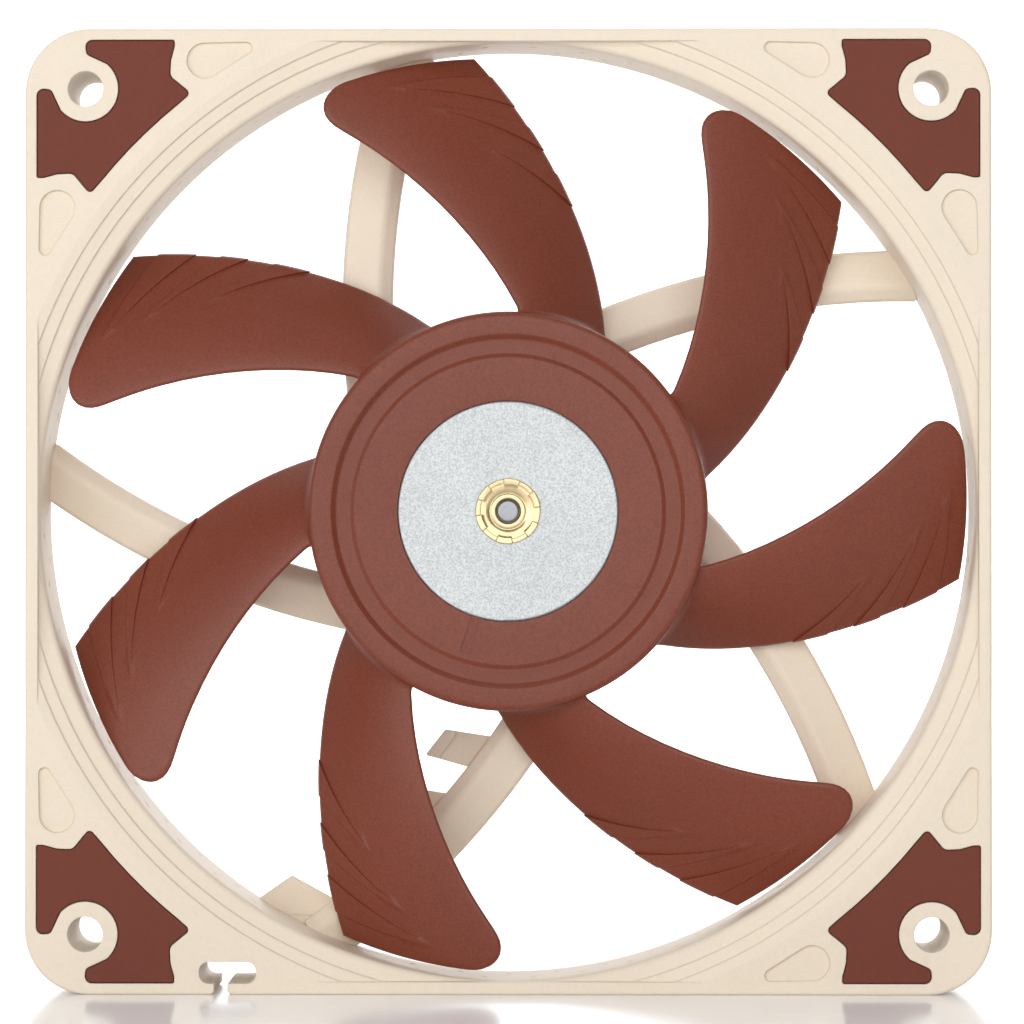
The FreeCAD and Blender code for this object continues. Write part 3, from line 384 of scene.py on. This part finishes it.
def round_corners(corners, steps):
    """Outline from (radius, y, rounding) corners; a rounding of 0 stays sharp."""
    outline = []
    for i, (x, y, rounding) in enumerate(corners):
        if not rounding:
            outline.append((x, y))
            continue
        corner = np.array([x, y])
        before = np.array(corners[i - 1][:2]) - corner
        after = np.array(corners[(i + 1) % len(corners)][:2]) - corner
        before /= np.linalg.norm(before)
        after /= np.linalg.norm(after)
        half_angle = acos(float(before @ after)) / 2
        tangent = rounding / tan(half_angle)
        bisector = (before + after) / np.linalg.norm(before + after)
        centre = corner + bisector * (rounding / sin(half_angle))
        start = corner + before * tangent - centre
        end = corner + after * tangent - centre
        turn = acos(float(start @ end) / (rounding * rounding))
        for k in range(steps + 1):
            share = k / steps
            spoke = (sin((1 - share) * turn) * start + sin(share * turn) * end) / sin(turn)
            outline.append(tuple(centre + spoke))
    return outline


def boolean(obj, other, operation):
    """Apply a Boolean to obj and remove the other object."""
    modifier = obj.modifiers.new("b", "BOOLEAN")
    modifier.operation = operation
    modifier.object = other
    modifier.solver = "EXACT"
    depsgraph = bpy.context.evaluated_depsgraph_get()
    mesh = bpy.data.meshes.new_from_object(obj.evaluated_get(depsgraph))
    obj.modifiers.remove(modifier)
    old_mesh = obj.data
    obj.data = mesh
    bpy.data.meshes.remove(old_mesh)
    bpy.data.objects.remove(other)


# ------------------------------------------------------------------ blade shape
# Millimetres and degrees. s runs across a blade, 0 at the trailing (back) edge and
# 1 at the leading (front) edge.
BLADE_COUNT = 7
PITCH = 360.0 / BLADE_COUNT
TIP_R = 57.40
HUB_R = 24.85
ROOT_R = 25.0        # where the height and thickness changes along the blade start
# edge angles as cubics in (radius - 40) / 20, highest power first
TRAIL_CUBIC = (1.2869, -4.0749, 20.2769, 27.53)
LEAD_CUBIC = (1.8317, -2.9626, 18.7018, 51.9374)
# rounded leading corner: (radius, angle); it leaves the cubic at CORNER_START_R
CORNER_START_R = 50.8
CORNER_USE_R = 51.2  # the corner curve is followed beyond this radius
LEAD_CORNER = [(52.5, 62.77), (54.0, 63.36), (55.3, 63.17), (56.0, 62.75),
               (56.6, 62.10), (57.05, 61.25), (57.31, 60.2), (TIP_R, 59.0)]
TRAIL_Y = 2.95
LEAD_Y = -6.15
LEAD_ROOT_Y = -5.35
LEAD_DROP_RUN = 18.0  # radial run from LEAD_ROOT_Y to LEAD_Y
CAMBER = 0.34
EDGE_THICKNESS = 0.75
ROOT_THICKNESS = 2.1  # thickest place, at the root
TIP_THINNING = 0.7    # how much thinner that place is at the tip
# rounded edges, the first two measured on a chord of NOMINAL_CHORD
NOMINAL_CHORD = 20.0
TRAIL_ROUND = 0.36
LEAD_ROUND = 0.75
TIP_ROUND = 0.30
# fillet into the hub
ROOT_FLARE = 0.9
FLARE_SPREAD = 0.42    # share of the flare that widens the chord at each end
FLARE_EDGE_SHARE = 0.22  # share of the flare kept at the two edges
# raised lands on the blade front, from the hub outward, each between two lines that meet:
# (inner and outer radius at the trailing edge, radius and s where the lines meet)
LANDS = [(39.40, 43.07, 46.04, 0.373), (45.86, 48.64, 51.63, 0.48),
         (51.18, 54.98, 55.16, 0.60)]
LAND_HEIGHT = 0.26
LAND_TIP_HALF = 0.10   # half the width of a land where its lines meet
LAND_STEP = 0.10       # width of the step at each side of a land
LAND_OVERHANG = 0.18   # how far a land reaches past the trailing edge
OVERHANG_S = 0.06      # s by which the overhang has died away


def edge_angle(cubic, radius):
    x = (radius - 40.0) / 20.0
    return ((cubic[0] * x + cubic[1]) * x + cubic[2]) * x + cubic[3]


def corner_curve():
    """Angle of the rounded leading corner: a natural cubic spline in sqrt(TIP_R - radius)."""
    start = (CORNER_START_R, edge_angle(LEAD_CUBIC, CORNER_START_R))
    points = np.array([start] + LEAD_CORNER)[::-1]
    knots = np.sqrt(TIP_R - points[:, 0])
    angles = points[:, 1]
    count = len(knots)
    gaps = np.diff(knots)
    system = np.zeros((count, count))
    target = np.zeros(count)
    system[0, 0] = system[-1, -1] = 1
    for i in range(1, count - 1):
        system[i, i - 1:i + 2] = gaps[i - 1], 2 * (gaps[i - 1] + gaps[i]), gaps[i]
        target[i] = 6 * ((angles[i + 1] - angles[i]) / gaps[i]
                         - (angles[i] - angles[i - 1]) / gaps[i - 1])
    bend = np.linalg.solve(system, target)

    def angle_at(radius):
        x = sqrt(max(0.0, TIP_R - radius))
        i = int(np.clip(np.searchsorted(knots, x) - 1, 0, count - 2))
        low, high = (knots[i + 1] - x) / gaps[i], (x - knots[i]) / gaps[i]
        curve = (low ** 3 - low) * bend[i] + (high ** 3 - high) * bend[i + 1]
        return low * angles[i] + high * angles[i + 1] + curve * gaps[i] ** 2 / 6
    return angle_at


corner_angle = corner_curve()


def smooth_step(x):
    x = max(0.0, min(1.0, x))
    return x * x * (3 - 2 * x)


def middle_height(radius, s):
    """Height of the blade's middle surface, and its slope per unit of s."""
    from_lead = 1 - s
    drop = smooth_step((radius - ROOT_R) / LEAD_DROP_RUN)
    lead_y = LEAD_ROOT_Y + (LEAD_Y - LEAD_ROOT_Y) * drop
    rise = TRAIL_Y - lead_y
    y = lead_y + rise * ((1 - CAMBER) * from_lead + CAMBER * from_lead * from_lead)
    return y, rise * ((1 - CAMBER) + 2 * CAMBER * from_lead)


def dome(x):
    """Quarter-circle rise from 0 at x = 0 to 1 at x = 1."""
    return sqrt(max(0.0, 1 - (1 - x) ** 2)) if x < 1 else 1.0


def blade_point(radius, s, land_end):
    """Angle in radians, front y and back y; land_end is the s where a land ends, or None."""
    trail = edge_angle(TRAIL_CUBIC, radius)
    plain_lead = edge_angle(LEAD_CUBIC, radius)
    cornered = radius > CORNER_USE_R
    lead = corner_angle(radius) if cornered else plain_lead

    flare_left = ROOT_FLARE - min(ROOT_FLARE, max(0.0, radius - HUB_R))
    flare = ROOT_FLARE - sqrt(ROOT_FLARE * ROOT_FLARE - flare_left * flare_left)
    spread = degrees(flare * FLARE_SPREAD / radius)
    angle = trail - spread + (lead - trail + 2 * spread) * s
    edge_room = smooth_step(min(s, 1 - s) * 5.0)
    flare *= FLARE_EDGE_SHARE + (1 - FLARE_EDGE_SHARE) * edge_room

    land = 0.0
    if land_end is not None:
        land = LAND_HEIGHT * max(0.0, 1 - s / land_end) ** 0.7
        angle -= degrees(LAND_OVERHANG * max(0.0, 1 - s / OVERHANG_S) / radius)

    # the rounded corner keeps the height the plain blade has at that place
    plain_s = s
    if cornered:
        plain_s = max(0.0, min(1.0, (angle - trail) / (plain_lead - trail)))
    y_middle, slope = middle_height(radius, plain_s)
    # thickness is square to the surface, so along Y it grows with the slope
    tilt = sqrt(1 + (slope / (radians(plain_lead - trail) * radius)) ** 2)
    outward = (radius - ROOT_R) / (TIP_R - ROOT_R)
    thickest = ROOT_THICKNESS - TIP_THINNING * outward
    bulge = sin(pi * (1 - plain_s) ** 0.75) ** 0.9
    thickness = EDGE_THICKNESS + (thickest - EDGE_THICKNESS) * bulge

    chord = radians(lead - trail) * radius
    scale = chord / NOMINAL_CHORD
    rounding = (dome(s * chord / (TRAIL_ROUND * scale))
                * dome((1 - s) * chord / (LEAD_ROUND * scale))
                * dome((TIP_R - radius) / TIP_ROUND))
    half = 0.0
    if rounding > 0:
        half = (thickness * tilt / 2 * rounding
                + flare * tilt * (0.25 + 0.75 * min(1.0, rounding * 1.2)))
    return radians(angle), y_middle - half - land * tilt * rounding, y_middle + half


def edge_steps(length, count):
    """Distances from an edge, crowded toward it, for a rounding of this length."""
    return [length * (1 - cos(radians(90.0 * k / count))) for k in range(count + 1)]


def blade_columns():
    """Values of s from the trailing to the leading edge."""
    body_steps = 52
    trail = edge_steps(TRAIL_ROUND, 5)
    lead = [NOMINAL_CHORD - step for step in reversed(edge_steps(LEAD_ROUND, 6))]
    body = [trail[-1] + (lead[0] - trail[-1]) * k / body_steps for k in range(1, body_steps)]
    return [place / NOMINAL_CHORD for place in trail + body + lead]


def blade_rows(columns):
    """Rows from hub to tip, each (radius at every column, land_end)."""
    def level(radius):
        return [radius] * len(columns)

    def land_side(start_r, meet_r, meet_s, offset):
        return [start_r + (meet_r - start_r) * min(1.0, s / meet_s) ** 0.94 + offset
                for s in columns]

    root = [level(HUB_R + step) for step in edge_steps(ROOT_FLARE, 6)]
    tip = [level(TIP_R - step) for step in reversed(edge_steps(TIP_ROUND, 5))]
    half_step = LAND_STEP / 2
    # bands between two boundary rows: (low row, high row, steps, land_end)
    bands = []
    low, steps = root[-1], 9
    for inner_r, outer_r, meet_r, meet_s in LANDS:
        inner = (inner_r, meet_r - LAND_TIP_HALF, meet_s)
        outer = (outer_r, meet_r + LAND_TIP_HALF, meet_s)
        bands.append((low, land_side(*inner, -half_step), steps, None))
        bands.append((land_side(*inner, half_step), land_side(*outer, -half_step), 5, meet_s))
        low, steps = land_side(*outer, half_step), 4
    bands.append((low, tip[0], steps, None))

    # the first row lies inside the hub wall
    rows = [(radii, None) for radii in [level(HUB_R - 0.5)] + root[:-1]]
    for low, high, steps, land_end in bands:
        for k in range(steps + 1):
            share = k / steps
            rows.append(([a + (b - a) * share for a, b in zip(low, high)], land_end))
    return rows + [(radii, None) for radii in tip[1:]]


def blade_mesh():
    """Front and back skins that share their vertices along the three free edges."""
    columns = blade_columns()
    rows = blade_rows(columns)
    last_row, last_column = len(rows) - 1, len(columns) - 1
    verts, faces, front, back = [], [], [], []
    for i, (radii, land_end) in enumerate(rows):
        front.append([])
        back.append([])
        for j, s in enumerate(columns):
            angle, y_front, y_back = blade_point(radii[j], s, land_end)
            front[i].append(len(verts))
            verts.append(polar(radii[j], y_front, angle))
            if i != last_row and j not in (0, last_column):
                verts.append(polar(radii[j], y_back, angle))
            back[i].append(len(verts) - 1)
    for i in range(last_row):
        for j in range(last_column):
            faces.append((front[i][j], front[i][j + 1], front[i + 1][j + 1], front[i + 1][j]))
            faces.append((back[i][j], back[i + 1][j], back[i + 1][j + 1], back[i][j + 1]))
    # cap at the root; its two end faces are triangles
    for j in range(last_column):
        cap = (front[0][j], back[0][j], back[0][j + 1], front[0][j + 1])
        faces.append(tuple(dict.fromkeys(cap)))
    return verts, faces


# ------------------------------------------------------------------ impeller
# hub cup section, open at the back: (radius, y, rounding)
HUB_SECTION = [
    (HUB_R, 4.00, 0.30), (HUB_R, -7.30, 0.85), (22.02, -7.30, 0.35), (21.42, -6.66, 0.42),
    (19.62, -6.70, 0.16), (19.12, -7.03, 0.14), (13.72, -7.02, 0.12), (13.72, -6.00, 0),
    (23.42, -6.00, 0.3), (23.42, 4.00, 0.1)]
HUB_SEGMENTS = 288
HUB_RING_GAP = 1.6   # extra rings split longer runs, so the blades meet clean quads
# round pits in the hub's front groove, one per blade
PIT_CIRCLE_R = 20.1
PIT_R = 0.55
PIT_ANGLE = 20.7
# radial notch in the hub's front face: (distance out, sideways)
NOTCH_ANGLE = 253.0
NOTCH = [(13.0, -0.5), (18.2, -0.68), (18.45, -0.45), (18.45, 0.45), (18.2, 0.68), (13.0, 0.5)]


def hub_mesh():
    outline = round_corners(HUB_SECTION, steps=6)
    section = []
    for i, (radius, y) in enumerate(outline):
        next_radius, next_y = outline[(i + 1) % len(outline)]
        section.append((radius, y))
        count = int(hypot(next_radius - radius, next_y - y) / HUB_RING_GAP)
        for k in range(1, count):
            section.append((radius + (next_radius - radius) * k / count,
                            y + (next_y - y) * k / count))
    return ring_mesh([(2 * pi * j / HUB_SEGMENTS, section) for j in range(HUB_SEGMENTS)])


def hub_cutter_mesh():
    parts = []
    for k in range(BLADE_COUNT):
        angle = radians(PIT_ANGLE + k * PITCH)
        x, z = PIT_CIRCLE_R * cos(angle), PIT_CIRCLE_R * sin(angle)
        circle = [(x + PIT_R * cos(2 * pi * i / 28), z + PIT_R * sin(2 * pi * i / 28))
                  for i in range(28)]
        parts.append(prism_mesh(circle, -7.5, -6.60))
    out_x, out_z = cos(radians(NOTCH_ANGLE)), sin(radians(NOTCH_ANGLE))
    notch = [(out * out_x - side * out_z, out * out_z + side * out_x) for out, side in NOTCH]
    parts.append(prism_mesh(notch, -7.6, -6.86))
    return joined(parts)


def blade_parts(material):
    """Turned copies of the blade, each tidied on its own."""
    verts, faces = blade_mesh()
    parts = []
    for k in range(BLADE_COUNT):
        turn_cos, turn_sin = cos(radians(PITCH * k)), sin(radians(PITCH * k))
        turned = [(x * turn_cos - z * turn_sin, y, x * turn_sin + z * turn_cos)
                  for x, y, z in verts]
        blade = mesh_object("tmp_blade_%d" % k, turned, faces, material)
        tidy(blade, distance=2e-7)
        parts.append(([tuple(vert.co) for vert in blade.data.vertices],
                      [tuple(face.vertices) for face in blade.data.polygons]))
        bpy.data.objects.remove(blade)
    return parts


def build_impeller():
    material = materials["impeller_plastic"]
    impeller = mesh_object("impeller", *hub_mesh(), material)
    tidy(impeller)
    cutter = mesh_object("tmp_cut", *hub_cutter_mesh(), material, smooth=False)
    tidy(cutter)
    boolean(impeller, cutter, "DIFFERENCE")
    blades = mesh_object("tmp_blades", *joined(blade_parts(material)), material)
    boolean(impeller, blades, "UNION")
    impeller.name = "impeller_moulding"
    for face in impeller.data.polygons:
        face.use_smooth = True
    impeller.data.set_sharp_from_angle(angle=radians(38))
    # guards against the rebuilt mesh having no material
    if not impeller.data.materials:
        impeller.data.materials.append(material)
    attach(impeller, "rotor")
    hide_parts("impeller")


build_impeller()


# ------------------------------------------------------------------ brass collar
COLLAR_SECTORS = 12   # alternately high and low round the front rim
COLLAR_TURN = 8.0     # degrees
NICK_DEPTH = 0.10     # groove between sectors


def collar_section(high, nick):
    front = -7.30 if high else -7.235
    rim_in = 3.28 if high else 3.42
    rim_out = 4.08 if high else 4.03
    # (radius, y)
    return [
        (1.505, -4.30), (2.45, -4.30), (2.60, -4.45), (2.60, -7.02), (2.70, -7.05),
        (rim_out - 0.06, -7.05), (rim_out, -7.09), (rim_out, front + 0.10 + nick * 0.4),
        (rim_out - 0.03, front + 0.05 + nick * 0.6), (rim_out - 0.10, front + nick),
        (rim_in + 0.10, front + nick), (rim_in + 0.03, front + 0.02 + nick),
        (rim_in, front + 0.05), (3.12, -7.175), (2.85, -7.13), (2.64, -7.095),
        (2.48, -7.03), (2.32, -6.95), (2.24, -6.93), (2.18, -6.95), (2.14, -7.0),
        (2.06, -7.03), (1.72, -7.03), (1.62, -7.01), (1.56, -6.93), (1.53, -6.66),
        (1.505, -6.62)]


def build_collar():
    width = 360.0 / COLLAR_SECTORS
    margin, nick_half, steps = 0.9, 0.25, 14  # degrees, degrees, steps along a sector
    sections = []
    for k in range(COLLAR_SECTORS):
        start, end = width * k + COLLAR_TURN, width * (k + 1) + COLLAR_TURN
        high = k % 2 == 0
        for i in range(steps + 1):
            angle = start + margin + (end - start - 2 * margin) * i / steps
            sections.append((radians(angle), collar_section(high, 0.0)))
        sections.append((radians(end - nick_half), collar_section(high, NICK_DEPTH)))
        sections.append((radians(end + nick_half), collar_section(not high, NICK_DEPTH)))
    collar = mesh_object("shaft_collar_turned", *ring_mesh(sections), materials["brass"])
    tidy(collar)
    collar.data.set_sharp_from_angle(angle=radians(35))
    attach(collar, "rotor")
    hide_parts("shaft_collar")


build_collar()

# ------------------------------------------------------------------ shaft
SHAFT_R = 1.50
GROOVE_R = 1.20
SHAFT_SEGMENTS = 96
SHAFT_FRONT_Y = -7.13
SHAFT_BACK_Y = 5.46
# rings between the two end centres: (radius, y)
SHAFT_RINGS = [
    (0.35, SHAFT_FRONT_Y), (0.8, SHAFT_FRONT_Y), (1.12, SHAFT_FRONT_Y), (1.19, -7.12),
    (1.27, -7.08), (1.32, -7.01), (1.335, -6.90), (1.34, -6.70), (SHAFT_R, -6.60),
    (SHAFT_R, 4.50), (GROOVE_R, 4.50), (GROOVE_R, 4.92), (SHAFT_R, 4.92), (SHAFT_R, 5.22),
    (1.40, 5.34), (1.10, 5.45)]


def build_shaft():
    count = SHAFT_SEGMENTS
    verts = [(0, SHAFT_FRONT_Y * MM, 0)]
    verts += [polar(radius, y, 2 * pi * j / count)
              for radius, y in SHAFT_RINGS for j in range(count)]
    verts.append((0, SHAFT_BACK_Y * MM, 0))
    back_centre = len(verts) - 1
    last_ring = back_centre - count
    faces = []
    for j in range(count):
        k = (j + 1) % count
        faces.append((0, 1 + k, 1 + j))
        for ring in range(1, last_ring, count):
            faces.append((ring + j, ring + k, ring + count + k, ring + count + j))
        faces.append((back_centre, last_ring + j, last_ring + k))
    shaft = mesh_object("shaft_ground", verts, faces, materials["shaft_steel"])
    tidy(shaft)
    shaft.data.set_sharp_from_angle(angle=radians(50))
    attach(shaft, "rotor")
    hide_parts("shaft")


build_shaft()

# ------------------------------------------------------------------ web on the frame
# small web between ledge, strut and duct wall, below the axis: (x, z)
WEB_OUTLINE = [(-29.2, -50.4), (-24.4, -50.6), (-24.9, -53.5), (-27.7, -53.5)]
web = mesh_object("ledge_web", *prism_mesh(WEB_OUTLINE, 6.08, 7.12),
                  materials["frame_plastic"], smooth=False)
tidy(web)
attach(web, "frame")

# ------------------------------------------------------------------ floor (metres)
FLOOR_Z = cad_box[0].z
FLOOR_HALF_WIDTH = 2.5
FLOOR_FRONT_Y = -1.6
SWEEP_START_Y = 0.9
SWEEP_R = 0.5
WALL_TOP = 3.0


def floor_material():
    """Glossy near-white that glows more toward the back, mostly for camera and reflections."""
    material, tree, shader = new_material("floor_mat")
    shader.inputs["Base Color"].default_value = (0.86, 0.86, 0.86, 1)
    shader.inputs["Roughness"].default_value = 0.16
    shader.inputs["Specular IOR Level"].default_value = 0.4
    shader.inputs["Emission Color"].default_value = (1, 1, 1, 1)
    geometry = tree.nodes.new("ShaderNodeNewGeometry")
    axes = tree.nodes.new("ShaderNodeSeparateXYZ")
    tree.links.new(geometry.outputs["Position"], axes.inputs[0])
    glow = to_range(tree, axes.outputs[1], low=0.10, high=1.0, from_low=0.02, from_high=0.9)
    rays = tree.nodes.new("ShaderNodeLightPath").outputs
    seen = combine(tree, "MAXIMUM", rays["Is Camera Ray"], rays["Is Glossy Ray"])
    seen = combine(tree, "MAXIMUM", seen, 0.35)  # share of the glow that lights the rest
    tree.links.new(combine(tree, "MULTIPLY", glow, seen), shader.inputs["Emission Strength"])
    return material


def build_floor():
    """Flat floor that sweeps up into a back wall."""
    profile = [(FLOOR_FRONT_Y, 0.0), (SWEEP_START_Y, 0.0)]
    for k in range(1, 13):
        angle = radians(90.0 * k / 12)
        profile.append((SWEEP_START_Y + SWEEP_R * sin(angle), SWEEP_R - SWEEP_R * cos(angle)))
    profile.append((SWEEP_START_Y + SWEEP_R, WALL_TOP))
    count = len(profile)
    verts = [(x, y, FLOOR_Z + z) for x in (-FLOOR_HALF_WIDTH, FLOOR_HALF_WIDTH)
             for y, z in profile]
    faces = [(i, i + count, i + count + 1, i + 1) for i in range(count - 1)]
    mesh_object("studio_floor", verts, faces, floor_material())


build_floor()


# ------------------------------------------------------------------ world, lights, camera
def build_world():
    """White world, brighter to the camera than as a light."""
    world = bpy.data.worlds.new("studio")
    bpy.context.scene.world = world
    world.use_nodes = True
    tree = world.node_tree
    background = tree.nodes.get("Background")
    background.inputs[0].default_value = (1, 1, 1, 1)
    rays = tree.nodes.new("ShaderNodeLightPath")
    strength = to_range(tree, rays.outputs["Is Camera Ray"], low=0.34, high=0.96)
    tree.links.new(strength, background.inputs[1])


def aim(obj, target):
    toward = Vector(target) - obj.location
    obj.rotation_euler = toward.to_track_quat("-Z", "Y").to_euler()


def area_light(name, location, target, size, power):
    data = bpy.data.lights.new(name, "AREA")
    data.shape = "RECTANGLE"
    data.size, data.size_y = size
    data.energy = power
    light = bpy.data.objects.new(name, data)
    bpy.context.scene.collection.objects.link(light)
    light.location = location
    aim(light, target)


def build_camera():
    data = bpy.data.cameras.new("cam")
    data.sensor_width = 36.0
    data.lens = 165.8
    data.clip_end = 20.0
    camera = bpy.data.objects.new("cam", data)
    bpy.context.scene.collection.objects.link(camera)
    target_y, distance = -0.0075, 0.585
    camera.location = (0.0065, target_y - distance, -0.0050)
    aim(camera, (0.0005, target_y, -0.0001))
    bpy.context.scene.camera = camera


build_world()
LOWER_LEFT = (-0.03, 0, -0.03)
CENTRE = (0, 0, 0)
area_light("key_front", location=(0.02, -1.20, 0.20), target=LOWER_LEFT, size=(1.1, 1.1),
           power=8.1)
area_light("fill_left", location=(-0.80, -0.95, 0.10), target=LOWER_LEFT, size=(0.7, 0.7),
           power=4.6)
area_light("top_soft", location=(0.0, 0.15, 1.1), target=CENTRE, size=(1.0, 0.8), power=4.0)
area_light("back_soft", location=(0.5, 1.0, 0.5), target=CENTRE, size=(0.8, 0.8), power=2.5)
build_camera()
bpy.context.scene.view_settings.view_transform = "Standard"
